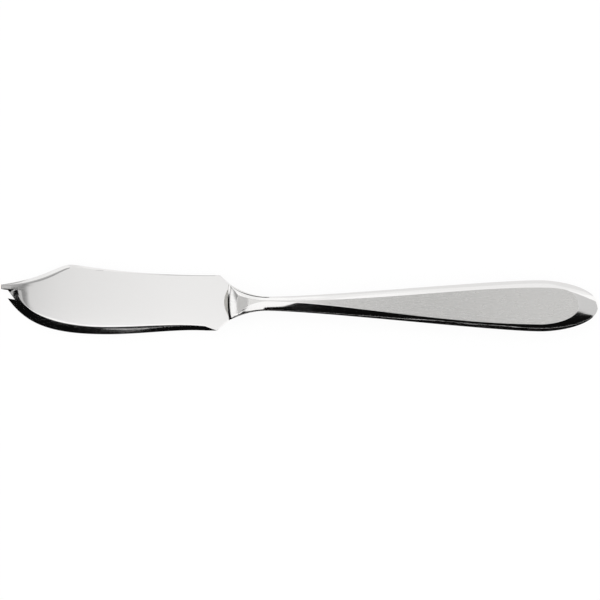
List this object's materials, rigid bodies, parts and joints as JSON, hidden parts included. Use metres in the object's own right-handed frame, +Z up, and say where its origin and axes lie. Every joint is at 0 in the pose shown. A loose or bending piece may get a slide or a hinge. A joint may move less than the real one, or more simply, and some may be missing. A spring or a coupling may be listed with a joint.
{
  "type": "fish knife",
  "caption": "Fish knife with a broad humped blade, ground lower edge and notched tip, set in a faceted hollow handle with a flared mouth and slim neck.",
  "frame": {"origin": "middle of the knife's bounding box in plan, on the flat of the back shell that it lies on", "axes": "+X from the blade's tip to the end of the handle, +Y towards the spine, +Z up from the surface that the knife lies on"},
  "size_m": [0.21, 0.0244, 0.0056],
  "materials": {
    "polished_blade_steel": "polished",
    "handle_steel": "satin",
    "cement": "matte",
    "braze": "polished"
  },
  "bodies": {
    "root": {"blade": "polished_blade_steel", "handle_front_shell": "handle_steel", "handle_back_shell": "handle_steel", "handle_filler": "cement", "seam_braze": "braze", "mouth_braze": "braze"}
  },
  "joints": []
}
